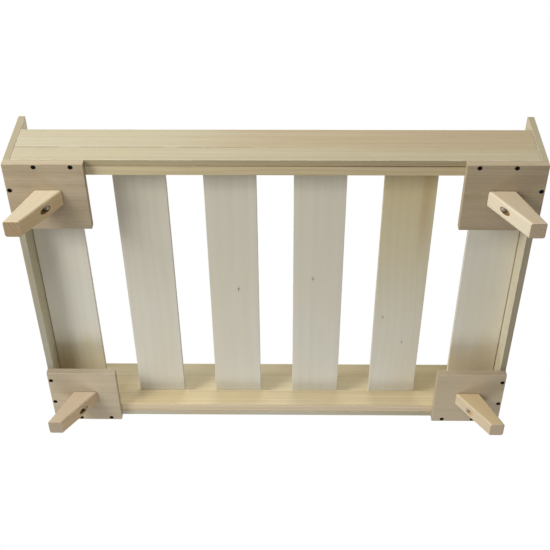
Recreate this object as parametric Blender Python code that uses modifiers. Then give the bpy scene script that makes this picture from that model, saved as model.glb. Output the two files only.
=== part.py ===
"""Low slatted pet bed frame on four splayed legs.

Frame: metres, +Z up, origin on the floor under the middle of the frame.
+X runs along the length to the right end board, -Y is the low front.
"""
import math

import bmesh
import bpy
from mathutils import Matrix, Vector

# Overall frame
LENGTH = 0.900
DEPTH = 0.630
BOARD = 0.012
FRONT_HEIGHT = 0.092
BACK_HEIGHT = 0.134
END_HEIGHT = 0.134
GAP = 0.0003

# Slatted base
SLATS = 6
SLAT_WIDTH = 0.092
SLAT_THICK = 0.010
SLAT_END_GAP = 0.0012
LEDGER_WIDTH = 0.019
LEDGER_HEIGHT = 0.041

# Corner plates
PLATE_SIDE = 0.135
PLATE_THICK = 0.014

# Legs: distances from the end of the frame, measured along X
LEG_HEIGHT = 0.083
LEG_THICK = 0.032
ROOT_OUTER = 0.0465
ROOT_INNER = 0.094
FOOT_OUTER = 0.0095
FOOT_INNER = 0.0375
FOOT_LEAN = 0.003
LEG_ROUND = 0.0045
LEG_ROUND_SEGMENTS = 3
FOOT_CHAMFER = 0.0018

# Leg screws, driven straight up a deep hole in the leg
POCKET_RADIUS = 0.0062
LEG_SEAT = 0.0275
LEG_SHANK = 0.0020
LEG_HEAD = 0.0050
LEG_HEAD_SIDE = 0.0010
LEG_HEAD_DOME = 0.0018
LEG_HEAD_DOME_STEPS = 3
LEG_SCREW_LENGTH = 0.0380

# Plate screws, countersunk, along the middle of the boards' edges
PLATE_SCREW_NEAR = 0.053
PLATE_SCREW_FAR = 0.114
PLATE_SCREW_HEAD = 0.0041
PLATE_SCREW_SHANK = 0.0017
PLATE_SCREW_LENGTH = 0.030

# Slat screws, countersunk
SLAT_SCREW_HEAD = 0.0029
SLAT_SCREW_SHANK = 0.0014
SLAT_SCREW_LENGTH = 0.025

# Dowels between rails and end boards
DOWEL_RADIUS = 0.003
DOWEL_LENGTH = 0.028
DOWEL_IN_PANEL = 0.0080
DOWEL_CHAMFER = 0.0008
DOWEL_LEVELS = (0.24, 0.76)

# Turned shapes
SMALL_STEPS = 12
ROUND_STEPS = 20
POINT_SLOPE = 3.0
HEAD_RIM = 0.0004
CUTTER_OVERRUN = 0.002
MERGE_DISTANCE = 0.00005

PLATE_BASE = LEG_HEIGHT + GAP
FRAME_BASE = LEG_HEIGHT + PLATE_THICK + GAP
INNER_X = LENGTH / 2 - BOARD
INNER_Y = DEPTH / 2 - BOARD
LEDGER_TOP = FRAME_BASE + LEDGER_HEIGHT
SLAT_BASE = LEDGER_TOP + GAP
SLAT_TOP = SLAT_BASE + SLAT_THICK

CORNERS = {
    "front_left": (-1, -1),
    "front_right": (1, -1),
    "back_left": (-1, 1),
    "back_right": (1, 1),
}


def clear_scene():
    for thing in list(bpy.data.objects):
        bpy.data.objects.remove(thing, do_unlink=True)


def new_collection(name):
    collection = bpy.data.collections.new(name)
    bpy.context.scene.collection.children.link(collection)
    return collection


def make_material(name, color, roughness, metallic=0.0):
    material = bpy.data.materials.new(name)
    material.use_nodes = True
    shader = material.node_tree.nodes["Principled BSDF"]
    shader.inputs["Base Color"].default_value = (*color, 1.0)
    shader.inputs["Roughness"].default_value = roughness
    shader.inputs["Metallic"].default_value = metallic
    return material


def add_object(name, mesh, collection, material=None):
    thing = bpy.data.objects.new(name, mesh)
    collection.objects.link(thing)
    if material and not mesh.materials:
        mesh.materials.append(material)
    return thing


def box(name, low, high, collection, material):
    """A rectangular board between two corners."""
    low, high = Vector(low), Vector(high)
    size = high - low
    work = bmesh.new()
    bmesh.ops.create_cube(work, size=1.0, matrix=Matrix.Diagonal((*size, 1.0)))
    mesh = bpy.data.meshes.new(name)
    work.to_mesh(mesh)
    work.free()
    thing = add_object(name, mesh, collection, material)
    thing.location = (low + high) / 2
    return thing


def turned(name, profile, steps, collection, material=None):
    """A solid of revolution about Z; the profile runs down its outer side from the axis to the axis."""
    mesh = bpy.data.meshes.new(name)
    points = [(radius, 0.0, height) for radius, height in profile]
    edges = [(i, i + 1) for i in range(len(points) - 1)]
    mesh.from_pydata(points, edges, [])
    thing = add_object(name, mesh, collection, material)
    screw = thing.modifiers.new("Turn", "SCREW")
    screw.steps = steps
    screw.render_steps = steps
    screw.use_merge_vertices = True
    screw.merge_threshold = MERGE_DISTANCE
    screw.use_smooth_shade = False
    return thing


def as_cutter(thing):
    thing.hide_render = True
    thing.display_type = "WIRE"
    return thing


def cut(target, cutters):
    for cutter in cutters:
        boolean = target.modifiers.new("Cut", "BOOLEAN")
        boolean.operation = "DIFFERENCE"
        boolean.solver = "EXACT"
        boolean.object = cutter


def countersunk_profile(length, head, shank):
    """Head face at height 0, point at the top."""
    cone = head - shank
    return [
        (0.0, length),
        (shank, length - shank * POINT_SLOPE),
        (shank, HEAD_RIM + cone),
        (head, HEAD_RIM),
        (head, 0.0),
        (0.0, 0.0),
    ]


def countersunk_clearance(length, head, shank):
    cone = head - shank
    return [
        (0.0, length + GAP),
        (shank + GAP, length + GAP),
        (shank + GAP, HEAD_RIM + cone + GAP),
        (head + GAP, HEAD_RIM + GAP),
        (head + GAP, -CUTTER_OVERRUN),
        (0.0, -CUTTER_OVERRUN),
    ]


def pan_head_profile():
    """Leg screw: underside of the head at height 0, point at the top, domed face below."""
    quarter = [math.pi / 2 * step / LEG_HEAD_DOME_STEPS for step in range(LEG_HEAD_DOME_STEPS + 1)]
    dome = [(LEG_HEAD * math.cos(a), -LEG_HEAD_SIDE - LEG_HEAD_DOME * math.sin(a)) for a in quarter]
    return [
        (0.0, LEG_SCREW_LENGTH),
        (LEG_SHANK, LEG_SCREW_LENGTH - LEG_SHANK * POINT_SLOPE),
        (LEG_SHANK, 0.0),
        (LEG_HEAD, 0.0),
        *dome,
    ]


def leg_pocket_profile():
    """Shank hole up to the root and a wide hole down past the foot."""
    return [
        (0.0, LEG_SEAT + CUTTER_OVERRUN),
        (LEG_SHANK + GAP, LEG_SEAT + CUTTER_OVERRUN),
        (LEG_SHANK + GAP, GAP),
        (POCKET_RADIUS, GAP),
        (POCKET_RADIUS, -LEG_HEIGHT),
        (0.0, -LEG_HEIGHT),
    ]


def pilot_profile():
    """Hole for the leg screw's point, up into the corner plate."""
    top = LEG_SCREW_LENGTH + GAP
    return [
        (0.0, top),
        (LEG_SHANK + GAP, top),
        (LEG_SHANK + GAP, 0.0),
        (0.0, 0.0),
    ]


def dowel_profile():
    half = DOWEL_LENGTH / 2
    return [
        (0.0, half),
        (DOWEL_RADIUS - DOWEL_CHAMFER, half),
        (DOWEL_RADIUS, half - DOWEL_CHAMFER),
        (DOWEL_RADIUS, -half + DOWEL_CHAMFER),
        (DOWEL_RADIUS - DOWEL_CHAMFER, -half),
        (0.0, -half),
    ]


def dowel_hole_profile():
    half = DOWEL_LENGTH / 2 + GAP
    return [
        (0.0, half),
        (DOWEL_RADIUS + GAP, half),
        (DOWEL_RADIUS + GAP, -half),
        (0.0, -half),
    ]


def make_boards(parts, pine):
    """The four boards of the box; the end boards cover the rails' ends."""
    half_x, half_y = LENGTH / 2, DEPTH / 2
    rail_x = INNER_X - GAP
    end_top = FRAME_BASE + END_HEIGHT
    front_top = FRAME_BASE + FRONT_HEIGHT
    back_top = FRAME_BASE + BACK_HEIGHT
    boards = {
        "side_panel_left": ((-half_x, -half_y, FRAME_BASE), (-INNER_X, half_y, end_top)),
        "side_panel_right": ((INNER_X, -half_y, FRAME_BASE), (half_x, half_y, end_top)),
        "front_rail": ((-rail_x, -half_y, FRAME_BASE), (rail_x, -INNER_Y, front_top)),
        "back_rail": ((-rail_x, INNER_Y, FRAME_BASE), (rail_x, half_y, back_top)),
    }
    return {name: box(name, low, high, parts, pine) for name, (low, high) in boards.items()}


def make_ledgers(parts, pine):
    outer = INNER_Y - GAP
    inner = INNER_Y - LEDGER_WIDTH
    reach = INNER_X - GAP
    front = box("front_ledger", (-reach, -outer, FRAME_BASE), (reach, -inner, LEDGER_TOP), parts, pine)
    back = box("back_ledger", (-reach, inner, FRAME_BASE), (reach, outer, LEDGER_TOP), parts, pine)
    return {"front": front, "back": back}


def slat_centres():
    """The outer slats stand a hair off the end boards; the others are evenly spread."""
    first = -INNER_X + SLAT_END_GAP + SLAT_WIDTH / 2
    pitch = -2 * first / (SLATS - 1)
    return [first + pitch * i for i in range(SLATS)]


def make_slats(parts, pine):
    reach = INNER_Y - GAP
    slats = []
    for number, centre in enumerate(slat_centres(), start=1):
        low = (centre - SLAT_WIDTH / 2, -reach, SLAT_BASE)
        high = (centre + SLAT_WIDTH / 2, reach, SLAT_TOP)
        slats.append(box(f"slat_{number}", low, high, parts, pine))
    return slats


def make_plates(parts, pine):
    plates = {}
    for corner, (side_x, side_y) in CORNERS.items():
        outer = Vector((side_x * LENGTH / 2, side_y * DEPTH / 2))
        inner = outer - PLATE_SIDE * Vector((side_x, side_y))
        low = (min(outer.x, inner.x), min(outer.y, inner.y), PLATE_BASE)
        high = (max(outer.x, inner.x), max(outer.y, inner.y), LEG_HEIGHT + PLATE_THICK)
        plates[corner] = box(f"corner_plate_{corner}", low, high, parts, pine)
    return plates


def leg_mesh(side_x, side_y):
    """A leg splayed outwards and leaning slightly in, foot at height 0.

    X is measured from the end of the frame and Y from the middle of the leg's root.
    """
    work = bmesh.new()
    bmesh.ops.create_cube(work, size=1.0)
    for vertex in work.verts:
        at_root = vertex.co.z > 0
        at_outer = vertex.co.x > 0
        if at_root:
            offset = ROOT_OUTER if at_outer else ROOT_INNER
        else:
            offset = FOOT_OUTER if at_outer else FOOT_INNER
        lean = 0.0 if at_root else FOOT_LEAN
        vertex.co.x = -offset
        vertex.co.y = math.copysign(LEG_THICK / 2, vertex.co.y) - lean
        vertex.co.z = LEG_HEIGHT if at_root else 0.0
    long_edges = [e for e in work.edges if abs(e.verts[0].co.z - e.verts[1].co.z) > LEG_HEIGHT / 2]
    bmesh.ops.bevel(work, geom=long_edges, offset=LEG_ROUND, segments=LEG_ROUND_SEGMENTS, profile=0.5,
                    affect="EDGES", offset_type="OFFSET")
    foot_rim = [e for e in work.edges if max(v.co.z for v in e.verts) < LEG_HEIGHT / 2]
    bmesh.ops.bevel(work, geom=foot_rim, offset=FOOT_CHAMFER, segments=1, profile=0.5,
                    affect="EDGES", offset_type="OFFSET")
    bmesh.ops.scale(work, vec=(side_x, side_y, 1.0), verts=work.verts)
    if side_x * side_y < 0:
        bmesh.ops.reverse_faces(work, faces=work.faces)
    mesh = bpy.data.meshes.new("tapered_leg")
    work.to_mesh(mesh)
    work.free()
    return mesh


def leg_centre(side_x, side_y):
    """Where the leg screw stands: the middle of the leg's root."""
    x = side_x * (LENGTH / 2 - (ROOT_OUTER + ROOT_INNER) / 2)
    y = side_y * (DEPTH / 2 - PLATE_SIDE / 2)
    return x, y


def make_legs(parts, pine):
    legs = {}
    for corner, (side_x, side_y) in CORNERS.items():
        leg = add_object(f"leg_{corner}", leg_mesh(side_x, side_y), parts, pine)
        leg.location = (side_x * LENGTH / 2, leg_centre(side_x, side_y)[1], 0.0)
        legs[corner] = leg
    return legs


def fit_leg_screws(parts, cutters, legs, plates, zinc):
    seat = LEG_HEIGHT - LEG_SEAT
    for corner, signs in CORNERS.items():
        place = (*leg_centre(*signs), seat)
        screw = turned(f"leg_screw_{corner}", pan_head_profile(), ROUND_STEPS, parts, zinc)
        pocket = as_cutter(turned("leg_pocket", leg_pocket_profile(), ROUND_STEPS, cutters))
        pilot = as_cutter(turned("leg_pilot", pilot_profile(), ROUND_STEPS, cutters))
        for thing in (screw, pocket, pilot):
            thing.location = place
        cut(legs[corner], [pocket])
        cut(plates[corner], [pilot])


def fit_plate_screws(parts, cutters, plates, boards, black):
    """Two screws along each outer edge of a plate, into the middle of the board above it."""
    values = (PLATE_SCREW_LENGTH, PLATE_SCREW_HEAD, PLATE_SCREW_SHANK)
    for corner, (side_x, side_y) in CORNERS.items():
        rail = boards["front_rail" if side_y < 0 else "back_rail"]
        panel = boards["side_panel_left" if side_x < 0 else "side_panel_right"]
        edge = BOARD / 2
        spots = [
            (PLATE_SCREW_NEAR, edge, rail),
            (PLATE_SCREW_FAR, edge, rail),
            (edge, PLATE_SCREW_NEAR, panel),
            (edge, PLATE_SCREW_FAR, panel),
        ]
        for number, (from_end, from_face, board) in enumerate(spots, start=1):
            name = f"plate_screw_{corner}_{number}"
            screw = turned(name, countersunk_profile(*values), SMALL_STEPS, parts, black)
            room = countersunk_clearance(*values)
            hole = as_cutter(turned("plate_screw_hole", room, SMALL_STEPS, cutters))
            x = side_x * (LENGTH / 2 - from_end)
            y = side_y * (DEPTH / 2 - from_face)
            screw.location = (x, y, PLATE_BASE)
            hole.location = (x, y, PLATE_BASE)
            cut(plates[corner], [hole])
            cut(board, [hole])


def fit_slat_screws(parts, cutters, slats, ledgers, zinc):
    """One screw down through each end of each slat."""
    values = (SLAT_SCREW_LENGTH, SLAT_SCREW_HEAD, SLAT_SCREW_SHANK)
    row = INNER_Y - LEDGER_WIDTH / 2
    for number, (slat, centre) in enumerate(zip(slats, slat_centres()), start=1):
        for end, side_y in (("front", -1), ("back", 1)):
            name = f"slat_screw_{number}_{end}"
            screw = turned(name, countersunk_profile(*values), SMALL_STEPS, parts, zinc)
            room = countersunk_clearance(*values)
            hole = as_cutter(turned("slat_screw_hole", room, SMALL_STEPS, cutters))
            for thing in (screw, hole):
                thing.rotation_euler = (math.pi, 0.0, 0.0)
                thing.location = (centre, side_y * row, SLAT_TOP)
            cut(slat, [hole])
            cut(ledgers[end], [hole])


def fit_dowels(parts, cutters, boards, beech):
    """Two dowels along X in each joint between a rail and an end board."""
    for corner, (side_x, side_y) in CORNERS.items():
        rail = boards["front_rail" if side_y < 0 else "back_rail"]
        panel = boards["side_panel_left" if side_x < 0 else "side_panel_right"]
        height = FRONT_HEIGHT if side_y < 0 else BACK_HEIGHT
        x = side_x * (INNER_X + DOWEL_IN_PANEL - DOWEL_LENGTH / 2)
        y = side_y * (DEPTH / 2 - BOARD / 2)
        for level, name in zip(DOWEL_LEVELS, ("lower", "upper")):
            dowel = turned(f"rail_dowel_{corner}_{name}", dowel_profile(), SMALL_STEPS, parts, beech)
            hole = as_cutter(turned("dowel_hole", dowel_hole_profile(), SMALL_STEPS, cutters))
            for thing in (dowel, hole):
                thing.rotation_euler = (0.0, math.pi / 2, 0.0)
                thing.location = (x, y, FRAME_BASE + height * level)
            cut(rail, [hole])
            cut(panel, [hole])


def main():
    clear_scene()
    parts = new_collection("pet_bed_frame")
    cutters = new_collection("cutters")
    pine = make_material("pine", (0.66, 0.56, 0.41), 0.62)
    leg_wood = make_material("leg_wood", (0.74, 0.62, 0.44), 0.60)
    beech = make_material("dowel_beech", (0.62, 0.46, 0.30), 0.60)
    black = make_material("black_oxide", (0.02, 0.02, 0.02), 0.45, 0.6)
    zinc = make_material("zinc", (0.72, 0.72, 0.70), 0.32, 1.0)

    boards = make_boards(parts, pine)
    ledgers = make_ledgers(parts, pine)
    slats = make_slats(parts, pine)
    plates = make_plates(parts, pine)
    legs = make_legs(parts, leg_wood)
    fit_leg_screws(parts, cutters, legs, plates, zinc)
    fit_plate_screws(parts, cutters, plates, boards, black)
    fit_slat_screws(parts, cutters, slats, ledgers, zinc)
    fit_dowels(parts, cutters, boards, beech)
    bpy.context.view_layer.update()


main()
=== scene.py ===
"""Looks of a low slatted pet bed frame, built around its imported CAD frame.

Metres, +Z up, origin on the floor under the middle of the frame; -Y is the low front.
Every board, leg and screw is remade at its CAD node's place with eased, slightly worn
edges and a wood that is worked out in three dimensions, so that faces, edges and end
grain belong together.
"""

import math
from types import SimpleNamespace

import bmesh
import bpy
from mathutils import Matrix, Quaternion, Vector, noise


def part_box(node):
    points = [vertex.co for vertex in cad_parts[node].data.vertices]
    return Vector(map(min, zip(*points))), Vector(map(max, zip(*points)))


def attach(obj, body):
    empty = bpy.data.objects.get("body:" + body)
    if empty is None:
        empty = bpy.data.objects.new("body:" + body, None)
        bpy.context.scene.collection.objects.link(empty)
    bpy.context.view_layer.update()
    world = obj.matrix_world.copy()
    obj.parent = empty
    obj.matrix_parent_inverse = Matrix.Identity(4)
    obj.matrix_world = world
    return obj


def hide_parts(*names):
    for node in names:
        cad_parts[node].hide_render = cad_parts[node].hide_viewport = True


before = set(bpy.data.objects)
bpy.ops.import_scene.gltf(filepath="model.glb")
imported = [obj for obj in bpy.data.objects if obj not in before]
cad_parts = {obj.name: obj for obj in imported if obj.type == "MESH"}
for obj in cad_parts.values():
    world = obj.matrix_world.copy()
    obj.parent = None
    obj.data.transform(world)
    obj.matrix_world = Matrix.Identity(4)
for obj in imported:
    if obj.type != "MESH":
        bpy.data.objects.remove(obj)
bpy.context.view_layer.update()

CORNERS = {
    "front_left": (-1, -1),
    "front_right": (1, -1),
    "back_left": (-1, 1),
    "back_right": (1, 1),
}
SLATS = 6

# Boards: their eased edges, the spacing of their cross cuts, and how they wave and wear
EASE = 0.0010
EASE_STEPS = 3
SLICE = 0.018
WAVE = 0.00010
WAVE_SCALE = 14.0
NIBBLE = 0.00045
NIBBLE_SCALE = 38.0
NIBBLE_REACH = 0.0022
SHARP_ANGLE = math.radians(52)

# Legs: width at the root and foot, thickness, how far the foot leans in, and rounded edges
LEG_ROOT = 0.0475
LEG_FOOT = 0.0280
LEG_THICK = 0.0320
LEG_LEAN = 0.0030
LEG_ROUND = 0.0045
LEG_ROUND_STEPS = 6
LEG_LEVELS = 14
LEG_WAVE_SCALE = Vector((30.0, 30.0, 22.0))
FOOT_ROUND = 0.0018
FOOT_STEPS = 4
ROOT_ROUND = 0.0008
ROOT_STEP = 0.35
MIN_ROUND = 0.0002
# Where the painted contact shade at a leg's root starts, below its top
ROOT_CONTACT = 0.0016
POCKET_RADIUS = 0.0062
POCKET_STEPS = 40
POCKET_SEAT = 0.0004
LEG_BORE_RADIUS = 0.0023

# Screws: their turned shapes, and their shanks as shares of the head's radius
ROUND = 32
THREAD_PITCH = 0.0016
THREAD_DEPTH = 0.0004
RECESS_LENGTH = 0.62
RECESS_WIDTH = 0.17
RECESS_DEPTH = 0.50
RECESS_TAPER = (0.30, 0.60)
TIP_LENGTH = 3.0
TIP_WIDTH = 0.45
HEAD_RIM = 0.0004
PAN_SIDE = 0.0010
PAN_DOME = 0.0018
PAN_STEPS = 8
PAN_CHAMFER = 0.0001
PAN_RECESS_WIDTH = 0.85
PAN_RECESS_DEPTH = 0.90
NECK_STEPS = 4
HOLE_SHANK = 0.45
PLATE_SHANK = 0.415
SLAT_SHANK = 0.48
LEG_SHANK = 0.40
SCREW_TURN = 0.77
CUT_MARGIN = 0.0020
SINK_GAP = 0.0002


# ---------------------------------------------------------------- node helpers


class Nodes:
    """Short calls for wiring one material's node tree."""

    def __init__(self, tree):
        self.tree = tree

    def add(self, kind, **settings):
        node = self.tree.nodes.new(kind)
        for name, value in settings.items():
            setattr(node, name, value)
        return node

    def plug(self, socket, value):
        if isinstance(value, bpy.types.NodeSocket):
            self.tree.links.new(value, socket)
        else:
            socket.default_value = value

    def math(self, operation, a, b=0.0, clamp=False):
        node = self.add("ShaderNodeMath", operation=operation, use_clamp=clamp)
        self.plug(node.inputs[0], a)
        self.plug(node.inputs[1], b)
        return node.outputs[0]

    def vector(self, operation, a, b=(0.0, 0.0, 0.0)):
        node = self.add("ShaderNodeVectorMath", operation=operation)
        self.plug(node.inputs[0], a)
        self.plug(node.inputs[1], b)
        return node.outputs["Value" if operation == "LENGTH" else "Vector"]

    def turn(self, vector, angle):
        """The vector turned about Y."""
        node = self.add("ShaderNodeVectorRotate", rotation_type="Y_AXIS")
        self.plug(node.inputs["Vector"], vector)
        self.plug(node.inputs["Angle"], angle)
        return node.outputs[0]

    def split(self, vector):
        node = self.add("ShaderNodeSeparateXYZ")
        self.plug(node.inputs[0], vector)
        return node.outputs

    def join(self, x, y, z):
        node = self.add("ShaderNodeCombineXYZ")
        for socket, value in zip(node.inputs, (x, y, z)):
            self.plug(socket, value)
        return node.outputs[0]

    def noise(self, vector, scale, detail=2.0, roughness=0.5):
        node = self.add("ShaderNodeTexNoise")
        self.plug(node.inputs["Vector"], vector)
        self.plug(node.inputs["Scale"], scale)
        self.plug(node.inputs["Detail"], detail)
        self.plug(node.inputs["Roughness"], roughness)
        return node.outputs["Fac"]

    def ease(self, value, low, high, bottom=0.0, top=1.0):
        """A smooth step from bottom to top as value goes from low to high."""
        node = self.add("ShaderNodeMapRange", interpolation_type="SMOOTHSTEP")
        for socket, given in zip(node.inputs, (value, low, high, bottom, top)):
            self.plug(socket, given)
        return node.outputs[0]

    def blend(self, share, a, b, mode="MIX"):
        node = self.add("ShaderNodeMix", data_type="RGBA", blend_type=mode)
        self.plug(node.inputs["Factor"], share)
        self.plug(node.inputs[6], a)
        self.plug(node.inputs[7], b)
        return node.outputs[2]

    def tint(self, share, colour, tint):
        """The colour multiplied by the tint, as far as share says."""
        return self.blend(share, colour, self.blend(1.0, colour, tint, "MULTIPLY"))

    def roughen(self, shader, height, strength, distance):
        """Bumps of that height on the shader's surface."""
        bump = self.add("ShaderNodeBump")
        bump.inputs["Strength"].default_value = strength
        bump.inputs["Distance"].default_value = distance
        self.plug(bump.inputs["Height"], height)
        self.plug(shader.inputs["Normal"], bump.outputs[0])


def linear(red, green, blue):
    """A colour on the display scale of 0 to 255, as linear light with alpha."""

    def one(value):
        value /= 255.0
        return value / 12.92 if value <= 0.04045 else ((value + 0.055) / 1.055) ** 2.4

    return (one(red), one(green), one(blue), 1.0)


def tinted(wood, tint):
    """The same wood with its colours scaled."""
    scaled = dict(wood)
    for name in ("pale", "deep", "warm"):
        scaled[name] = (*(value * share for value, share in zip(wood[name], tint)), 1.0)
    return scaled


def new_material(name):
    material = bpy.data.materials.new(name)
    material.use_nodes = True
    return material, Nodes(material.node_tree), material.node_tree.nodes["Principled BSDF"]


# ---------------------------------------------------------------------- wood

# Each wood: pale and deep are the two ends of its grain, warm is its drifting tint.
RAIL_WOOD = {
    "pale": linear(225, 220, 197),
    "deep": linear(187, 171, 135),
    "warm": linear(216, 196, 160),
    "end": linear(178, 168, 137),
    "ring_gap": 0.0052,
    "ring": 0.11,
    "streak": 0.42,
    "fibre": 0.22,
    "pore": 0.25,
}
SLAT_WOOD = {
    "pale": linear(230, 227, 213),
    "deep": linear(198, 189, 167),
    "warm": linear(222, 212, 188),
    "end": linear(178, 164, 138),
    "ring_gap": 0.0085,
    "ring": 0.07,
    "streak": 0.20,
    "fibre": 0.16,
    "pore": 0.12,
}
LEDGER_WOOD = {
    "pale": linear(221, 208, 173),
    "deep": linear(187, 168, 129),
    "warm": linear(219, 190, 144),
    "end": linear(176, 150, 112),
    "ring_gap": 0.0075,
    "ring": 0.25,
    "streak": 0.70,
    "fibre": 0.25,
    "pore": 0.20,
}
PLATE_WOOD = {
    "pale": linear(209, 196, 171),
    "deep": linear(165, 147, 119),
    "warm": linear(201, 178, 144),
    "end": linear(196, 180, 148),
    "ring_gap": 0.0042,
    "ring": 0.10,
    "streak": 0.38,
    "fibre": 0.30,
    "pore": 0.45,
}
LEG_WOOD = {
    "pale": linear(240, 222, 188),
    "deep": linear(214, 184, 140),
    "warm": linear(236, 204, 158),
    "end": linear(178, 152, 124),
    "ring_gap": 0.0040,
    "ring": 0.22,
    "streak": 0.40,
    "fibre": 0.30,
    "pore": 0.20,
}
DOWEL_WOOD = {
    "pale": linear(222, 190, 150),
    "deep": linear(190, 150, 108),
    "warm": linear(214, 170, 126),
    "end": linear(176, 138, 100),
    "ring_gap": 0.0030,
    "ring": 0.25,
    "streak": 0.40,
    "fibre": 0.50,
    "pore": 0.60,
}

# Noise scales along the grain, across it and through it
FIBRE_GRAIN = (9.0, 620.0, 620.0)
PORE_GRAIN = (130.0, 1900.0, 1900.0)
STREAK_GRAIN = (1.3, 70.0, 70.0)
FLECK_GRAIN = (30.0, 420.0, 420.0)
CLOUD_GRAIN = (3.2, 9.0, 9.0)
BEND_GRAIN = (2.1, 6.0, 6.0)
RUB_SCALE = 46.0

# How far apart the pieces and the glued strips stood in the tree, and how fibres wander
SEED_STEP = 0.731
STRIP_ALONG = 1.7
STRIP_ACROSS = 0.043
BEND = 0.016

# Knots: what a distance along the grain counts for, their reaches as shares of their radius,
# how many metres the fibres bend round them, and their shade
KNOT_ALONG = 0.45
KNOT_CORE = 0.45
KNOT_HALO = 3.5
KNOT_REACH = 6.0
KNOT_BEND = 0.0035
KNOT_SHADE = linear(84, 62, 44)

# Bands on the surface, in metres from what they follow
GLUE_LINE = 0.0013
EDGE_BAND = 0.0020
SEAM_BAND = 0.0024
VEIN_FADE = 0.16
CONTACT_FADE = 0.0012
BORE_START = 0.0001
BORE_STOP = 0.0004

# Where along a board the painted shadow in its seam has its left and its right strength
SEAM_LEFT = -0.30
SEAM_RIGHT = 0.25

# Multiplied into the wood
PORE_TINT = linear(150, 122, 88)
# Painted shade where a piece stands against another
CONTACT_SHADE = linear(140, 112, 78)
# Painted shadow in the gap where two boards meet
SEAM_SHADE = linear(146, 122, 90)
GLUE_TINT = linear(176, 152, 118)
# Mixed with it
END_SHADE = linear(132, 108, 80)
# A painted highlight along the eased edges
PAINTED_HIGHLIGHT = linear(240, 232, 214)
GREY_RUB = linear(150, 134, 112)


def bend_round_knots(n, along, across, knots):
    """Across, bent as fibres bend round knots, and a mask of the knots and their halos."""
    mask = 0.0
    for knot_x, knot_y, radius in knots:
        off = n.join(
            n.math("MULTIPLY", n.math("SUBTRACT", along, knot_x), KNOT_ALONG),
            n.math("SUBTRACT", across, knot_y),
            0.0,
        )
        far = n.vector("LENGTH", off)
        spot = n.ease(far, radius * KNOT_CORE, radius, 1.0, 0.0)
        halo = n.ease(far, radius, radius * KNOT_HALO, 0.16, 0.0)
        mask = n.math("MAXIMUM", mask, n.math("MAXIMUM", spot, halo))
        push = n.ease(far, 0.0, radius * KNOT_REACH, KNOT_BEND, 0.0)
        side = n.math("SIGN", n.math("SUBTRACT", across, knot_y))
        across = n.math("SUBTRACT", across, n.math("MULTIPLY", push, side))
    return across, mask


def late_wood(n, own, bend, pith, ring_gap):
    """Growth rings round the pith: 1 in the dark late wood that ends each ring."""
    _, ring_y, ring_z = n.split(own)
    from_pith = n.join(
        0.0,
        n.math("ADD", n.math("ADD", ring_y, bend), pith[0]),
        n.math("ADD", n.math("ADD", ring_z, bend), pith[1]),
    )
    radius = n.math("DIVIDE", n.vector("LENGTH", from_pith), ring_gap)
    uneven = n.noise(n.join(0.0, 0.0, n.math("MULTIPLY", radius, 0.35)), 1.0, 1.0)
    phase = n.math("FRACT", n.math("ADD", radius, n.math("MULTIPLY", uneven, 2.4)))
    return n.math("MULTIPLY", n.ease(phase, 0.25, 0.88), n.ease(phase, 0.90, 1.0, 1.0, 0.0))


def wood_grain(n, here, wood, seed, pith, joint, knots):
    """What the grain does at each spot: rings, fibres, pores, streaks, clouds and flecks."""
    along, across, deep = n.split(here)
    across, knot_mask = bend_round_knots(n, along, across, knots)
    strip = 0.0 if joint is None else n.math("GREATER_THAN", across, joint)
    own = n.join(
        n.math("ADD", along, n.math("MULTIPLY", strip, STRIP_ALONG)),
        n.math("ADD", across, n.math("MULTIPLY", strip, STRIP_ACROSS)),
        deep,
    )
    own = n.vector("ADD", own, (seed * SEED_STEP, 0.0, 0.0))

    def stretched(scales, detail, roughness=0.5):
        return n.noise(n.vector("MULTIPLY", own, scales), 1.0, detail, roughness)

    bend = n.math("MULTIPLY", n.math("SUBTRACT", stretched(BEND_GRAIN, 1.0), 0.5), BEND)
    return SimpleNamespace(
        along=along,
        across=across,
        strip=strip,
        bend=bend,
        knots=knot_mask,
        late=late_wood(n, own, bend, pith, wood["ring_gap"]),
        fibre=stretched(FIBRE_GRAIN, 3.0, 0.62),
        pore=n.ease(stretched(PORE_GRAIN, 1.0), 0.64, 0.74),
        streak=stretched(STREAK_GRAIN, 3.0, 0.55),
        cloud=stretched(CLOUD_GRAIN, 2.0),
        fleck=n.ease(stretched(FLECK_GRAIN, 1.0), 0.62, 0.72),
    )


def planed_colour(n, wood, grain, half, tone, drift):
    """The colour of the clean wood, cut along its grain, with painted light and shade that change along it.
    """
    darkness = n.math("MULTIPLY_ADD", grain.late, wood["ring"])
    darkness.node.inputs[2].default_value = 0.10 + tone
    streaks = n.math("MULTIPLY", n.math("SUBTRACT", grain.streak, 0.45), wood["streak"] * 1.6)
    darkness = n.math("ADD", darkness, streaks)
    fibres = n.math("MULTIPLY", n.math("SUBTRACT", grain.fibre, 0.5), wood["fibre"])
    darkness = n.math("ADD", darkness, fibres)
    # Painted shade that grows towards +X, for light falling off along the piece
    if drift:
        darkness = n.math("ADD", darkness, n.ease(grain.along, -half[0], half[0], 0.0, drift))
    darkness = n.math("ADD", darkness, n.math("MULTIPLY", grain.fleck, wood["pore"] * 0.45))
    colour = n.blend(n.math("ADD", darkness, 0.0, clamp=True), wood["pale"], wood["deep"])
    warmed = n.blend(1.0, colour, wood["warm"], "DARKEN")
    colour = n.blend(n.ease(grain.cloud, 0.38, 0.72, 0.0, 0.55), colour, warmed)
    return n.tint(n.math("MULTIPLY", grain.pore, wood["pore"] * 0.5), colour, PORE_TINT)


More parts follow.
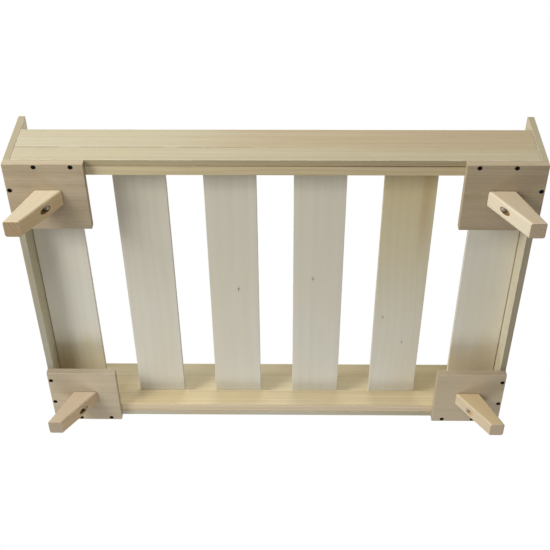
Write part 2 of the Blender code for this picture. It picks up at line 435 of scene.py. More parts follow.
def stained_colour(n, colour, grain, strip_tint, vein, stain):
    """Stretches of the wood in another tint, with edges that follow the streaks: real stains, and painted
    light and shade laid on the same way.
    """
    if strip_tint:
        start, stop, tint = strip_tint
        ragged = n.math("ADD", grain.along, n.math("MULTIPLY", grain.streak, 0.15))
        reach = n.math("MULTIPLY", n.ease(ragged, stop, start), grain.strip)
        colour = n.tint(reach, colour, (*tint, 1.0))
    if vein:
        middle, width, stop, tint = vein
        off = n.math("SUBTRACT", n.math("ADD", grain.across, grain.bend), middle)
        off = n.math("ABSOLUTE", off)
        length = n.ease(grain.along, stop, stop - VEIN_FADE)
        colour = n.tint(n.math("MULTIPLY", n.ease(off, width, 0.0), length), colour, (*tint, 1.0))
    if stain:
        start, stop, tint = stain
        ragged = n.math("ADD", grain.along, n.math("MULTIPLY", grain.streak, 0.12))
        colour = n.tint(n.ease(ragged, stop, start), colour, (*tint, 1.0))
    return colour


def end_grain_colour(n, colour, grain, wood, facing):
    """Rougher and darker where the surface looks along the fibres."""
    rough = n.blend(n.math("MULTIPLY", grain.late, 0.55), wood["end"], wood["deep"])
    open_fibres = n.math("MULTIPLY", n.math("SUBTRACT", grain.fibre, 0.35), 0.7, clamp=True)
    rough = n.blend(open_fibres, rough, END_SHADE)
    end = n.ease(n.math("ABSOLUTE", facing), 0.55, 0.86)
    return n.blend(n.math("MULTIPLY", end, 0.72), colour, rough)


def contact_and_bore_shade(n, colour, local, contact, bore):
    """Painted shade where the piece stands against another, and inside its bore, whose drilled wall is also
    darker wood.
    """
    if contact is not None:
        # Painted shade in the crease where the leg's root meets the plate
        height = n.split(local)[2]
        shade_share = n.ease(height, contact, contact + CONTACT_FADE, 0.0, 0.65)
        colour = n.tint(shade_share, colour, CONTACT_SHADE)
    # The hole's wall: darker drilled wood, with painted shade deep in the hole
    if bore is not None:
        radius, wall_shade = bore
        x, y, _ = n.split(local)
        off_axis = n.vector("LENGTH", n.join(x, y, 0.0))
        wall = n.ease(off_axis, radius + BORE_STOP, radius + BORE_START)
        colour = n.tint(wall, colour, wall_shade)
    return colour


def board_edges(n, here, half):
    """1 along the piece's long and short edges, 0 a little way in from them."""
    near = []
    for value, limit in zip(n.split(here), half):
        gap = n.math("SUBTRACT", limit, n.math("ABSOLUTE", value))
        near.append(n.ease(gap, 0.0, EDGE_BAND, 1.0, 0.0))
    edge = n.math("MULTIPLY", near[0], near[1])
    edge = n.math("ADD", edge, n.math("MULTIPLY", near[1], near[2]))
    return n.math("ADD", edge, n.math("MULTIPLY", near[0], near[2]), clamp=True)


def wood_material(name, wood, half, seed, pith=(0.16, 0.09), tone=0.0, drift=0.0, joint=None,
                  glue=0.85, strip_tint=None, knots=(), vein=None, stain=None, under=None,
                  contact=None, bore=None, burnish=(0.14, 0.40), seam_shade=None, tilt=None):
    """Solid wood with its grain along the piece's own X.

    half is the piece's half size, seed its place in the tree, and pith where the tree's
    middle lies from the piece's middle, across its width and its thickness.
    tone darkens the whole piece, and drift is painted shade that darkens it more and more towards +X, as
    the light falls off; where it is negative it paints light instead.
    joint is the height across the width where two glued strips meet, and glue how strong
    the line between them is.
    strip_tint is (start, stop, tint), a tint of the upper strip that is full at start and
    gone at stop, both along X. stain is the same for the whole width, and carries real stains as well as
    painted light and shade.
    knots are (along, across, radius).
    vein is (across, half width, stop, tint), a tinted streak from -X up to stop.
    under scales the colour of the surfaces that face the piece's -Y: painted shade on that one side, and
    painted light where it is above 1.
    contact is the height on the piece's own Z above which painted shade darkens it, where its neighbour
    stands against it.
    bore is (radius, tint) of the wall of a hole round the piece's own Z: darker drilled wood and painted
    shade in the hole.
    burnish is the least and the most that sanded edges are paler, as a painted highlight along the arris.
    seam is (axis, side, left, right): a painted shadow line where the face on that side of that axis meets
    its neighbour, from its strength at the left to that at the right.
    tilt turns the grain about the piece's Y, for a piece whose grain is not along its X.
    """
    material, n, shader = new_material(name)
    place = n.add("ShaderNodeTexCoord")
    local = place.outputs["Object"]
    here = local
    outward = place.outputs["Normal"]
    if tilt is not None:
        here = n.turn(here, tilt)
        outward = n.turn(outward, tilt)
    facing, sideways, _ = n.split(outward)

    grain = wood_grain(n, here, wood, seed, pith, joint, knots)
    colour = planed_colour(n, wood, grain, half, tone, drift)
    colour = stained_colour(n, colour, grain, strip_tint, vein, stain)
    colour = end_grain_colour(n, colour, grain, wood, facing)
    # Painted light and shade on the faces towards the piece's -Y, for how the light falls on that side
    if under:
        below = n.ease(n.math("MULTIPLY", sideways, -1.0), 0.60, 0.90)
        colour = n.tint(below, colour, (*under, 1.0))
    colour = contact_and_bore_shade(n, colour, local, contact, bore)

    # Sanded edges are a little paler and carry a painted highlight along the arris, with the odd grey rub
    edge = board_edges(n, here, half)
    rub = n.noise(here, RUB_SCALE, 3.0, 0.6)
    colour = n.blend(n.math("MULTIPLY", edge, n.ease(rub, 0.38, 0.62, *burnish)), colour, PAINTED_HIGHLIGHT)
    colour = n.blend(n.math("MULTIPLY", edge, n.ease(rub, 0.36, 0.22, 0.0, 0.35)), colour, GREY_RUB)
    # Painted shadow in the gap where this face meets its neighbour, stronger where less light reaches it
    if seam_shade:
        axis, side, left, right = seam_shade
        off = n.math("SUBTRACT", half[axis], n.math("MULTIPLY", n.split(here)[axis], side))
        strength = n.ease(grain.along, SEAM_LEFT, SEAM_RIGHT, left, right)
        dark = n.math("MULTIPLY", n.ease(off, 0.0, SEAM_BAND, 0.95, 0.0), strength)
        colour = n.tint(dark, colour, SEAM_SHADE)
    if joint is not None:
        gap = n.math("ABSOLUTE", n.math("SUBTRACT", n.split(here)[1], joint))
        broken = n.ease(rub, 0.36, 0.54, 0.10, 1.0)
        line = n.math("MULTIPLY", n.ease(gap, 0.0, GLUE_LINE, glue, 0.0), broken)
        if strip_tint:
            start, stop, _ = strip_tint
            line = n.math("MULTIPLY", line, n.ease(grain.along, stop, start, 1.0, 0.2))
        colour = n.tint(line, colour, GLUE_TINT)
    if knots:
        colour = n.blend(grain.knots, colour, KNOT_SHADE)

    n.plug(shader.inputs["Base Color"], colour)
    roughness = n.math("ADD", n.math("MULTIPLY", grain.fibre, 0.16), 0.56)
    roughness = n.math("SUBTRACT", roughness, n.math("MULTIPLY", edge, 0.10))
    n.plug(shader.inputs["Roughness"], roughness)
    shader.inputs["Specular IOR Level"].default_value = 0.32
    height = n.math("SUBTRACT", n.math("MULTIPLY", grain.fibre, 0.6), n.math("MULTIPLY", grain.pore, 0.7))
    height = n.math("SUBTRACT", height, n.math("MULTIPLY", grain.late, 0.25))
    n.roughen(shader, height, strength=0.35, distance=0.00025)
    return material


# --------------------------------------------------------------------- metal


def metal_material(name, body, worn, metallic, roughness, wear):
    """Plated or blackened steel: fine turning marks, cloudy plating and rubbed high spots."""
    material, n, shader = new_material(name)
    here = n.add("ShaderNodeTexCoord").outputs["Object"]
    cloud = n.noise(here, 900.0, 3.0, 0.6)
    grit = n.noise(here, 5200.0, 2.0)
    rubbed = n.ease(cloud, 1.0 - wear, 1.15 - wear)
    n.plug(shader.inputs["Base Color"], n.blend(rubbed, body, worn))
    shader.inputs["Metallic"].default_value = metallic
    n.plug(shader.inputs["Roughness"], n.math("ADD", n.math("MULTIPLY", cloud, 0.25), roughness))
    n.roughen(shader, grit, strength=0.25, distance=0.00004)
    return material


# ----------------------------------------------------------------- mesh helpers


def add_piece(name, mesh, matrix, material, slot, *nodes):
    """A finished piece in place of its CAD nodes, riding on the frame's one body."""
    thing = bpy.data.objects.new(name, mesh)
    bpy.context.scene.collection.objects.link(thing)
    mesh.materials.clear()
    mesh.materials.append(material)
    thing.matrix_world = matrix
    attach(thing, "root")
    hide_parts(*nodes)
    return thing


def mesh_from(work, name):
    """A mesh with outward normals from a bmesh, which is used up."""
    mesh = bpy.data.meshes.new(name)
    bmesh.ops.recalc_face_normals(work, faces=work.faces)
    work.to_mesh(mesh)
    work.free()
    return mesh


def soften(thing):
    """Smooth shading whose normals follow the large faces, so that flat boards stay flat."""
    thing.data.shade_smooth()
    thing.data.set_sharp_from_angle(angle=SHARP_ANGLE)
    weigh = thing.modifiers.new("Flat faces", "WEIGHTED_NORMAL")
    weigh.keep_sharp = True
    weigh.weight = 80


def carve(mesh, cutters):
    """The mesh with the cutter meshes taken out of it, all in the same coordinates."""
    body = bpy.data.objects.new("body_to_cut", mesh)
    bpy.context.scene.collection.objects.link(body)
    helpers = [body]
    for cutter in cutters:
        tool = bpy.data.objects.new("cutter", cutter)
        bpy.context.scene.collection.objects.link(tool)
        helpers.append(tool)
        cut = body.modifiers.new("Cut", "BOOLEAN")
        cut.operation = "DIFFERENCE"
        cut.solver = "EXACT"
        cut.object = tool
    bpy.context.view_layer.update()
    result = bpy.data.meshes.new_from_object(body.evaluated_get(bpy.context.evaluated_depsgraph_get()))
    for helper in helpers:
        bpy.data.objects.remove(helper, do_unlink=True)
    result.name = mesh.name
    return result


def lathe(name, profile, steps=ROUND):
    """A closed solid turned about Z from (radius, height) points that start and end on the axis."""
    work = bmesh.new()
    rings = []
    for radius, height in profile:
        if radius == 0.0:
            rings.append([work.verts.new((0.0, 0.0, height))])
            continue
        ring = []
        for step in range(steps):
            angle = 2 * math.pi * step / steps
            ring.append(work.verts.new((radius * math.cos(angle), radius * math.sin(angle), height)))
        rings.append(ring)
    for upper, lower in zip(rings, rings[1:]):
        for step in range(steps):
            after = (step + 1) % steps
            if len(upper) == 1:
                work.faces.new((upper[0], lower[step], lower[after]))
            elif len(lower) == 1:
                work.faces.new((upper[step], lower[0], upper[after]))
            else:
                work.faces.new((upper[step], lower[step], lower[after], upper[after]))
    return mesh_from(work, name)


def wear_edges(work, half, seed):
    """Planed faces wave a little and eased edges are nibbled, always inwards."""
    offset = Vector((seed * 3.1, seed * 1.7, seed * 0.9))
    work.normal_update()
    moves = []
    for vertex in work.verts:
        gaps = sorted(limit - abs(value) for value, limit in zip(vertex.co, half))
        wave = WAVE * (0.5 + 0.5 * noise.noise(vertex.co * WAVE_SCALE + offset))
        at_edge = max(0.0, 1.0 - gaps[1] / NIBBLE_REACH)
        nibble = NIBBLE * at_edge * max(0.0, noise.noise(vertex.co * NIBBLE_SCALE - offset)) ** 1.5
        moves.append(vertex.normal * -(wave + nibble))
    for vertex, move in zip(work.verts, moves):
        vertex.co += move


def slice_up(work, half, spacing):
    """Cuts across a board every so often, so that its faces can wave and its edges wear."""
    for axis in range(3):
        count = int(2 * half[axis] / spacing)
        for step in range(1, count):
            point, normal = Vector(), Vector()
            point[axis] = -half[axis] + 2 * half[axis] * step / count
            normal[axis] = 1.0
            everything = work.verts[:] + work.edges[:] + work.faces[:]
            bmesh.ops.bisect_plane(work, geom=everything, plane_co=point, plane_no=normal)


# --------------------------------------------------------------------- boards


def board_axes(node, grain):
    """A board's own axes: X along its grain, Y across its width and Z through it, as a matrix."""
    low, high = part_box(node)
    size = high - low
    first = "XYZ".index(grain)
    others = sorted((axis for axis in range(3) if axis != first), key=lambda axis: -size[axis])
    columns = []
    for axis in (first, *others):
        unit = Vector()
        unit[axis] = 1.0
        columns.append(unit)
    turn = Matrix(columns).transposed()
    if turn.determinant() < 0:
        turn = Matrix((columns[0], columns[1], -columns[2])).transposed()
    half = [size[axis] / 2 for axis in (first, *others)]
    return Matrix.Translation((low + high) / 2) @ turn.to_4x4(), half


def screw_size(node):
    """A screw's length, and its head's radius."""
    low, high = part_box(node)
    return high.z - low.z, (high.x - low.x) / 2


def screw_hole(node, axis_sign):
    """The room that a countersunk screw takes in wood; axis_sign is 1 where it points up."""
    low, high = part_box(node)
    middle = (low + high) / 2
    length, head = screw_size(node)
    shank = head * HOLE_SHANK
    profile = [
        (0.0, length + SINK_GAP),
        (shank, length + SINK_GAP),
        (shank, HEAD_RIM + head - shank + SINK_GAP),
        (head + SINK_GAP, HEAD_RIM + SINK_GAP),
        (head + SINK_GAP, -CUT_MARGIN),
        (0.0, -CUT_MARGIN),
    ]
    cutter = lathe("screw_room", profile)
    face = low.z if axis_sign > 0 else high.z
    matrix = Matrix.Translation((middle.x, middle.y, face))
    if axis_sign < 0:
        matrix = matrix @ Matrix.Rotation(math.pi, 4, "X")
    cutter.transform(matrix)
    return cutter


def make_board(node, grain, wood, slot, seed, cutters=(), **figure):
    """One planed board with eased edges, its screw holes, and its own wood."""
    matrix, half = board_axes(node, grain)
    work = bmesh.new()
    bmesh.ops.create_cube(work, size=2.0, matrix=Matrix.Diagonal((*half, 1.0)))
    bmesh.ops.bevel(work, geom=work.edges[:], offset=EASE, segments=EASE_STEPS, profile=0.5, affect="EDGES")
    slice_up(work, half, SLICE)
    wear_edges(work, half, seed)
    mesh = mesh_from(work, node + "_board")
    if cutters:
        to_board = matrix.inverted()
        for cutter in cutters:
            cutter.transform(to_board)
        mesh = carve(mesh, cutters)
    material = wood_material(node + "_wood", wood, half, seed, **figure)
    soften(add_piece(node + "_board", mesh, matrix, material, slot, node))


def plate_screws(corner):
    """The names of a plate's four screws: two up into the rail, then two into the panel."""
    return [f"plate_screw_{corner}_{number}" for number in range(1, 5)]


def rail_holes(side):
    """Holes in the front or back rail, for the first two screws of each of its plates."""
    corners = [corner for corner in CORNERS if corner.startswith(side)]
    return [screw_hole(name, 1) for corner in corners for name in plate_screws(corner)[:2]]


def panel_holes(side):
    """Holes in the left or right panel, for the last two screws of each of its plates."""
    corners = [corner for corner in CORNERS if corner.endswith(side)]
    return [screw_hole(name, 1) for corner in corners for name in plate_screws(corner)[2:]]


def make_boards():
    """The rails, each glued up from two strips, and the end panels."""
    # The under tints paint shade on the boards' bottom edges, and the drifts paint light falling off
    # towards +X
    make_board("front_rail", "X", RAIL_WOOD, "board_wood", 1, rail_holes("front"),
               pith=(0.21, 0.10), joint=-0.0085, tone=0.32, drift=0.22, under=(0.68, 0.64, 0.55),
               strip_tint=(0.06, -0.12, (0.945, 0.885, 0.84)), burnish=(0.22, 0.48))
    back_wood = tinted(RAIL_WOOD, (1.07, 1.03, 0.94))
    make_board("back_rail", "X", back_wood, "board_wood", 2, rail_holes("back"),
               pith=(0.16, 0.12), joint=0.0311, glue=0.30, tone=-0.03, drift=0.34, under=(0.78, 0.81, 0.90),
               stain=(0.42, 0.16, (0.86, 0.84, 0.80)))
    make_board("side_panel_left", "Y", RAIL_WOOD, "board_wood", 3, panel_holes("left"),
               pith=(0.18, 0.07), tone=0.17, under=(0.62, 0.64, 0.65))
    make_board("side_panel_right", "Y", RAIL_WOOD, "board_wood", 4, panel_holes("right"),
               pith=(-0.15, 0.11), tone=0.12, under=(0.54, 0.51, 0.46))


# Each ledger's painted light falloff, its painted shadow line where it meets its rail, and the back
# ledger's painted lighter underside
LEDGER_FIGURE = {
    "front": {"drift": 0.35, "seam_shade": (2, 1, 0.45, 1.0)},
    "back": {"drift": 0.15, "seam_shade": (2, -1, 1.0, 0.55), "under": (1.20, 1.18, 1.32)},
}


def make_ledgers():
    """The cleats inside the rails, which carry the slats."""
    for seed, (side, figure) in enumerate(LEDGER_FIGURE.items(), start=5):
        cutters = [screw_hole(f"slat_screw_{number}_{side}", -1) for number in range(1, SLATS + 1)]
        make_board(f"{side}_ledger", "X", LEDGER_WOOD, "board_wood", seed, cutters,
                   pith=(0.05, 0.03), tone=0.14, burnish=(0.02, 0.14), **figure)


# The stains on slats 1 and 6 are painted warm shade at their back ends, beside the back plates; slat 5's
# stain, vein and knots are its own wood
SLAT_FIGURE = {
    1: {"pith": (0.10, 0.16), "tone": 0.22, "stain": (0.25, 0.16, (0.96, 0.90, 0.74))},
    2: {"pith": (-0.12, 0.20), "tone": 0.42},
    3: {"pith": (0.03, 0.18), "tone": 0.39, "knots": [(0.0063, 0.0081, 0.0015)]},
    4: {"pith": (-0.05, 0.15), "tone": 0.38, "knots": [(-0.0194, -0.0090, 0.0012)]},
    5: {"pith": (0.09, 0.11), "tone": 0.37, "stain": (-0.36, 0.30, (0.88, 0.77, 0.50)),
        "vein": (0.032, 0.015, -0.03, (0.87, 0.80, 0.73)),
        "knots": [(0.0771, -0.0292, 0.0010), (0.1444, 0.0124, 0.0010)]},
    6: {"pith": (-0.08, 0.17), "tone": 0.32, "stain": (0.25, 0.16, (0.97, 0.90, 0.78))},
}


def make_slats():
    """The slats, each painted paler towards its back end where more light falls, with a screw hole over
    each ledger.
    """
    for number, figure in SLAT_FIGURE.items():
        cutters = [screw_hole(f"slat_screw_{number}_{side}", -1) for side in ("front", "back")]
        make_board(f"slat_{number}", "Y", SLAT_WOOD, "slat_wood", 10 + number, cutters,
                   drift=-0.34, **figure)


# How dark each plate is, and painted light and shade on its front edge: paler on the front plates, darker
# on the back ones
PLATE_TONES = {"front_left": 0.56, "front_right": 0.66, "back_left": 0.06, "back_right": 0.0}
PLATE_EDGE_LIGHTING = {"front": (1.27, 1.30, 1.32), "back": (0.74, 0.72, 0.71)}


def make_plates():
    """The square plates between the frame and the legs."""
    for seed, (corner, tone) in enumerate(PLATE_TONES.items(), start=20):
        cutters = [screw_hole(name, 1) for name in plate_screws(corner)]
        make_board(f"corner_plate_{corner}", "X", PLATE_WOOD, "plate_wood", seed, cutters,
                   pith=(0.10, 0.06), tone=tone, under=PLATE_EDGE_LIGHTING[corner.split("_")[0]],
                   burnish=(0.04, 0.20))


# ----------------------------------------------------------------------- legs


def quarter_inset(share, radius):
    """How far a quarter-round rim has come in, at a share of its height past its start."""
    share = min(max(share, 0.0), 1.0)
    return radius * (1 - math.sqrt(1 - share * share))


def rounded_section(low_x, high_x, half_y, round_by, inset, height):
    """Points of a rectangle with rounded corners, inset all round, at a height."""
    points = []
    round_by = min(round_by, (high_x - low_x) / 2)
    corners = [(high_x, half_y, 0), (low_x, half_y, 1), (low_x, -half_y, 2), (high_x, -half_y, 3)]
    reach = max(round_by - inset, MIN_ROUND)
    for corner_x, corner_y, quarter in corners:
        centre_x = corner_x - math.copysign(round_by, corner_x - (low_x + high_x) / 2)
        centre_y = corner_y - math.copysign(round_by, corner_y)
        for step in range(LEG_ROUND_STEPS + 1):
            angle = math.pi / 2 * (quarter + step / LEG_ROUND_STEPS)
            x, y = centre_x + reach * math.cos(angle), centre_y + reach * math.sin(angle)
            points.append(Vector((x, y, height)))
    return points


# A stain's start and stop that lie past the end of any leg, so that the leg's tint, which paints in part of
# its light and shade, covers it all over
ALL_OVER = (0.5, 1.0)
# Each leg is its own piece of wood: the colour of its foot, its tint, its front face's tint and its screw
# pocket's.
# Besides the wood's own tone these paint in light and shade: the tint for how the leg's inner face is lit,
# the front tint for how its front is lit, the feet darker near and paler far, and shade in the pocket.
# Painted shade in each screw pocket: deep in three, faint in the back right one
POCKET_DEEP_SHADE = linear(158, 136, 104)
POCKET_FAINT_SHADE = linear(250, 244, 236)
LEG_FIGURE = {
    "front_left": (linear(112, 93, 78), (0.87, 0.82, 0.72), (1.00, 1.11, 1.34), POCKET_DEEP_SHADE),
    "front_right": (linear(152, 129, 109), (0.97, 1.04, 1.15), (0.83, 0.78, 0.73), POCKET_DEEP_SHADE),
    "back_left": (linear(157, 156, 145), (0.80, 0.75, 0.71), (0.91, 0.98, 1.14), POCKET_DEEP_SHADE),
    "back_right": (linear(199, 184, 167), (0.87, 0.89, 0.94), (0.92, 0.88, 0.74), POCKET_FAINT_SHADE),
}


def leg_heights(height):
    """Heights of a leg's sections, close together in its rounded foot."""
    foot = [FOOT_ROUND * (1 - math.cos(math.pi / 2 * step / FOOT_STEPS)) for step in range(FOOT_STEPS)]
    straight = height - FOOT_ROUND - ROOT_ROUND
    even = [FOOT_ROUND + straight * step / LEG_LEVELS for step in range(LEG_LEVELS + 1)]
    return [*foot, *even, height - ROOT_ROUND * ROOT_STEP, height]


def leg_mesh(name, height, foot, root, middle_y, side_x, side_y, seed):
    """A leg lofted from rounded sections.

    foot and root are the inner and outer X of its ends, as for a leg on the right. side_x
    and side_y put it on its own side, leaning inwards in Y on its way down.
    """
    work = bmesh.new()
    sections = []
    for z in leg_heights(height):
        share = max(0.0, (z - FOOT_ROUND) / (height - FOOT_ROUND))
        near, far = (low + (high - low) * share for low, high in zip(foot, root))
        lean = LEG_LEAN * (1 - share)
        inset = quarter_inset(1 - z / FOOT_ROUND, FOOT_ROUND)
        inset += quarter_inset(1 - (height - z) / ROOT_ROUND, ROOT_ROUND)
        points = rounded_section(near, far, LEG_THICK / 2, LEG_ROUND, inset, z)
        centre = Vector(((near + far) / 2, 0.0, z))
        for point in points:
            wobble = noise.noise(point * LEG_WAVE_SCALE + Vector((seed, 0, 0)))
            point += (centre - point).normalized() * WAVE * (1 + wobble)
            point.x *= side_x
            point.y = middle_y + side_y * (point.y - lean)
        sections.append([work.verts.new(point) for point in points])
    for lower, upper in zip(sections, sections[1:]):
        for step in range(len(lower)):
            after = (step + 1) % len(lower)
            work.faces.new((lower[step], lower[after], upper[after], upper[step]))
    work.faces.new(sections[0])
    work.faces.new(sections[-1])
    return mesh_from(work, name)


def leg_pocket(axis, seat, height):
    """The room for a leg's screw: wide up to the head's seat, then only just clear of its shank."""
    profile = [
        (0.0, height + CUT_MARGIN),
        (LEG_BORE_RADIUS, height + CUT_MARGIN),
        (LEG_BORE_RADIUS, seat + SINK_GAP),
        (POCKET_RADIUS, seat + SINK_GAP - POCKET_SEAT),
        (POCKET_RADIUS, -CUT_MARGIN),
        (0.0, -CUT_MARGIN),
    ]
    pocket = lathe("pocket", profile, POCKET_STEPS)
    pocket.transform(Matrix.Translation((axis.x, axis.y, 0.0)))
    return pocket


def make_leg(corner, side_x, side_y, seed):
    """A tapered, splayed leg with rounded long edges and a screw pocket in its inner face."""
    node = f"leg_{corner}"
    low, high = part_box(node)
    height = high.z
    foot_far = high.x if side_x > 0 else -low.x
    root_near = low.x if side_x > 0 else -high.x
    foot = (foot_far - LEG_FOOT, foot_far)
    root = (root_near, root_near + LEG_ROOT)
    screw_low, screw_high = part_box(f"leg_screw_{corner}")
    axis = (screw_low + screw_high) / 2
    mesh = leg_mesh(node + "_wood", height, foot, root, axis.y, side_x, side_y, seed)
    mesh = carve(mesh, [leg_pocket(axis, screw_low.z + PAN_SIDE + PAN_DOME, height)])

    matrix = Matrix.Translation((axis.x, axis.y, height / 2))
    mesh.transform(matrix.inverted())
    tilt = math.pi / 2 + math.atan2(side_x * (sum(foot) - sum(root)) / 2, height)
    # The tint, the front tint and the foot colour are partly painted light and shade; the pocket's tint is
    # painted shade
    foot_colour, tint, front, pocket_shade = LEG_FIGURE[corner]
    wood = {**LEG_WOOD, "end": foot_colour}
    # Wider than the leg, whose edges are rounded and so have no painted highlight line
    half = (height, height, height)
    material = wood_material(node + "_grain", wood, half, seed, pith=(0.03, 0.055),
                             stain=(*ALL_OVER, tint), under=front, tilt=tilt,
                             contact=height / 2 - ROOT_CONTACT, bore=(POCKET_RADIUS, pocket_shade))
    soften(add_piece(node + "_wood", mesh, matrix, material, "leg_wood", node))


# ---------------------------------------------------------------------- screws


def thread(length, start, radius):
    """Profile of a threaded shank from its point down to start, as turned grooves."""
    tip = radius * TIP_LENGTH
    points = [(0.0, length), (radius * TIP_WIDTH, length - tip / 2)]
    turns = int((length - tip - start) / THREAD_PITCH)
    for turn in range(turns):
        top = length - tip / 2 - THREAD_PITCH * (turn + 0.5)
        points.append((radius, top))
        points.append((radius - THREAD_DEPTH, top - THREAD_PITCH / 2))
    points.append((radius - THREAD_DEPTH, start))
    return points


def cross_recess(radius, depth):
    """Two crossing tapered blades, widest at height 0, point upwards."""
    blades = []
    for angle in (0.0, math.pi / 2):
        work = bmesh.new()
        bmesh.ops.create_cube(work, size=2.0)
        for vertex in work.verts:
            inside = vertex.co.z > 0
            length, width = RECESS_TAPER if inside else (1.0, 1.0)
            vertex.co.x *= radius * RECESS_LENGTH * length
            vertex.co.y *= radius * RECESS_WIDTH * width
            vertex.co.z = depth if inside else -CUT_MARGIN
        bmesh.ops.rotate(work, verts=work.verts, matrix=Matrix.Rotation(angle, 3, "Z"))
        blades.append(mesh_from(work, "blade"))
    return blades


def countersunk_screw(length, head, shank):
    """Flat head with a softened rim at height 0, trumpet neck, threaded shank pointing up."""
    neck = []
    for step in range(NECK_STEPS + 1):
        share = step / NECK_STEPS
        radius = head + (shank - head) * math.sin(math.pi / 2 * share)
        neck.append((radius, HEAD_RIM + (head - shank) * share))
    # The thread starts just past the neck
    profile = thread(length, HEAD_RIM + (head - shank) * 1.02, shank)
    profile += reversed(neck)
    # The softened rim, and a face that is hollowed by less than a tenth of a millimetre
    profile += [(head - 0.00005, 0.00015), (head - 0.00025, 0.0), (head * 0.5, 0.00004), (0.0, 0.00006)]
    return carve(lathe("countersunk_screw", profile), cross_recess(head, head * RECESS_DEPTH))


def pan_screw(length, head, shank):
    """Domed head, top of the dome at height 0, threaded shank pointing up."""
    crown = [
        (head * math.cos(angle), PAN_DOME - PAN_DOME * math.sin(angle))
        for angle in (math.pi / 2 * step / PAN_STEPS for step in range(PAN_STEPS + 1))
    ]
    crown[-1] = (0.0, 0.0)
    seat = PAN_SIDE + PAN_DOME
    profile = thread(length, seat, shank)
    profile += [(head - PAN_CHAMFER, seat), (head, seat - PAN_CHAMFER)]
    profile += crown
    recess = cross_recess(head * PAN_RECESS_WIDTH, PAN_DOME * PAN_RECESS_DEPTH)
    return carve(lathe("pan_screw", profile), recess)


def place_screw(node, mesh, material, slot, up, turn):
    """Puts a screw on its CAD node's axis; up is 1 where it points up, turn its recess's angle."""
    low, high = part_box(node)
    middle = (low + high) / 2
    matrix = Matrix.Translation((middle.x, middle.y, low.z if up > 0 else high.z))
    if up < 0:
        matrix = matrix @ Matrix.Rotation(math.pi, 4, "X")
    matrix = matrix @ Matrix.Rotation(turn, 4, "Z")
    soften(add_piece(node + "_steel", mesh, matrix, material, slot, node))


def make_screws():
    """Each screw's recess stands at another angle than the one before it."""
    black = metal_material("black_phosphate", linear(14, 13, 13), linear(58, 54, 50),
                           metallic=0.35, roughness=0.42, wear=0.30)
    zinc = metal_material("bright_zinc", linear(206, 202, 182), linear(240, 236, 220),
                          metallic=0.45, roughness=0.24, wear=0.45)
    turn = 0.0
    length, head = screw_size("plate_screw_front_left_1")
    plate_screw = countersunk_screw(length, head, head * PLATE_SHANK)
    for corner in CORNERS:
        for node in plate_screws(corner):
            turn += SCREW_TURN
            place_screw(node, plate_screw, black, "black_screw", 1, turn)
    length, head = screw_size("slat_screw_1_front")
    slat_screw = countersunk_screw(length, head, head * SLAT_SHANK)
    for number in range(1, SLATS + 1):
        for side in ("front", "back"):
            turn += SCREW_TURN
            place_screw(f"slat_screw_{number}_{side}", slat_screw, zinc, "zinc_screw", -1, turn)
    length, head = screw_size("leg_screw_front_left")
    leg_screw = pan_screw(length, head, head * LEG_SHANK)
    for corner in CORNERS:
        turn += SCREW_TURN
        place_screw(f"leg_screw_{corner}", leg_screw, zinc, "zinc_screw", 1, turn)


def finish_dowels():
    """The dowels keep their CAD shape, hidden in the joints, and get their own wood."""
    beech = wood_material("dowel_beech", DOWEL_WOOD, (1.0, 1.0, 1.0), 40, pith=(0.04, 0.02))
    for name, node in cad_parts.items():
        if name.startswith("rail_dowel"):
            node.data.materials.clear()
            node.data.materials.append(beech)


# ----------------------------------------------------------------------- stage

# The floor's half size, and where it brightens to meet the white around it
FLOOR_REACH = 9.0
FLOOR_FADE = (0.5, 3.0)


def make_floor():
    """A pale floor that is there from above and clear from below, where the camera looks up."""
    work = bmesh.new()
    bmesh.ops.create_grid(work, x_segments=8, y_segments=8, size=FLOOR_REACH)
    floor = bpy.data.objects.new("studio_floor", mesh_from(work, "studio_floor"))
    bpy.context.scene.collection.objects.link(floor)
    material, n, shader = new_material("pale_floor")
    here = n.add("ShaderNodeTexCoord").outputs["Object"]
    cloud = n.noise(here, 3.0, 3.0)
    n.plug(shader.inputs["Base Color"], n.blend(cloud, linear(236, 235, 232), linear(242, 241, 239)))
    shader.inputs["Roughness"].default_value = 0.9
    shader.inputs["Emission Color"].default_value = (1.0, 1.0, 1.0, 1.0)
    n.plug(shader.inputs["Emission Strength"], n.ease(n.vector("LENGTH", here), *FLOOR_FADE))
    material.cycles.emission_sampling = "NONE"
    clear = n.add("ShaderNodeBsdfTransparent")
    sides = n.add("ShaderNodeMixShader")
    n.plug(sides.inputs[0], n.add("ShaderNodeNewGeometry").outputs["Backfacing"])
    n.plug(sides.inputs[1], shader.outputs[0])
    n.plug(sides.inputs[2], clear.outputs[0])
    n.plug(material.node_tree.nodes["Material Output"].inputs["Surface"], sides.outputs[0])
    floor.data.materials.append(material)
    floor.visible_shadow = False
    floor.visible_diffuse = False
    floor.visible_glossy = False


AMBIENT = 0.25


def make_world():
    """White all round for the camera, and a softer white for lighting."""
    world = bpy.data.worlds.new("studio")
    bpy.context.scene.world = world
    world.use_nodes = True
    n = Nodes(world.node_tree)
    background = world.node_tree.nodes["Background"]
    seen = n.add("ShaderNodeLightPath").outputs["Is Camera Ray"]
    n.plug(background.inputs["Strength"], n.ease(seen, 0.0, 1.0, AMBIENT, 1.0))
    background.inputs["Color"].default_value = (1.0, 1.0, 1.0, 1.0)


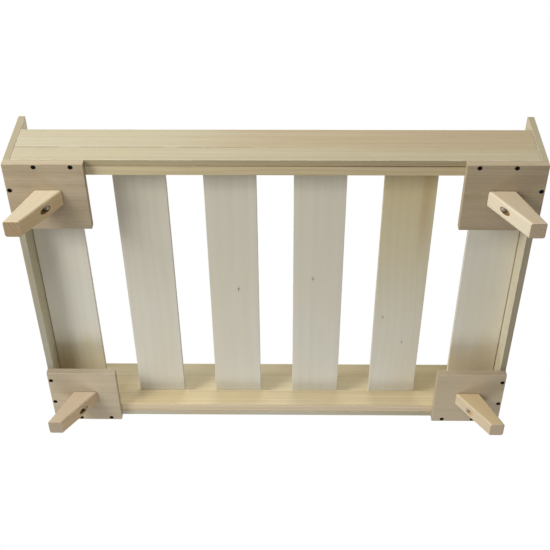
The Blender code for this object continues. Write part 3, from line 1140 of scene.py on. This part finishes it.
LIGHT_COLOUR = (1.0, 0.995, 0.985)
LIGHTS = {
    # name: (place, aim, width and height, power in watts)
    "key": ((-1.75, -1.62, -1.08), (-0.1, 0.0, 0.1), (0.85, 0.85), 35.0),
    "front": ((0.0, -2.6, -0.15), (0.0, 0.0, 0.1), (1.2, 0.22), 15.0),
    "left": ((-2.0, -0.7, -0.7), (0.0, 0.0, 0.1), (1.0, 1.0), 10.0),
    "low_front": ((-0.3, -2.3, -1.30), (0.0, -0.3, 0.1), (0.22, 0.22), 5.0),
    "far_below": ((-0.2, 1.0, -1.0), (0.0, 0.3, 0.1), (0.7, 0.7), 5.0),
    "above": ((0.0, -0.6, 2.6), (0.0, 0.0, 0.1), (2.0, 2.0), 45.0),
    "behind": ((0.9, 2.4, 1.2), (0.0, 0.0, 0.1), (1.5, 1.5), 42.0),
}


def make_lights():
    """Soft lamps, most of them low, for the side that the camera sees; none is in view."""
    for name, (place, aim, size, power) in LIGHTS.items():
        data = bpy.data.lights.new(name, "AREA")
        data.shape = "RECTANGLE"
        data.size, data.size_y = size
        data.energy = power
        data.color = LIGHT_COLOUR
        data.cycles.use_multiple_importance_sampling = False
        lamp = bpy.data.objects.new(name, data)
        bpy.context.scene.collection.objects.link(lamp)
        lamp.location = place
        lamp.rotation_mode = "QUATERNION"
        lamp.rotation_quaternion = (Vector(aim) - Vector(place)).to_track_quat("-Z", "Y")
        lamp.visible_camera = False
        lamp.visible_glossy = False


CAMERA_PLACE = (0.0227, -1.2733, -1.2965)
CAMERA_AIM = (-0.0008, -0.0624, 0.1000)
CAMERA_ROLL = 1.04
CAMERA_LENS = 66.87
CAMERA_SENSOR = 36.0


def make_camera():
    """Low in front, looking up at the underside."""
    data = bpy.data.cameras.new("camera")
    data.lens = CAMERA_LENS
    data.sensor_width = CAMERA_SENSOR
    camera = bpy.data.objects.new("camera", data)
    bpy.context.scene.collection.objects.link(camera)
    camera.location = CAMERA_PLACE
    camera.rotation_mode = "QUATERNION"
    look = (Vector(CAMERA_AIM) - Vector(CAMERA_PLACE)).to_track_quat("-Z", "Y")
    camera.rotation_quaternion = look @ Quaternion((0.0, 0.0, 1.0), math.radians(CAMERA_ROLL))
    bpy.context.scene.camera = camera


make_boards()
make_ledgers()
make_slats()
make_plates()
for number, (corner, (side_x, side_y)) in enumerate(CORNERS.items()):
    make_leg(corner, side_x, side_y, 30 + number)
make_screws()
finish_dowels()
make_floor()
make_world()
make_lights()
make_camera()
bpy.context.scene.view_settings.view_transform = "Standard"
bpy.context.scene.view_settings.look = "None"

bpy.context.view_layer.update()
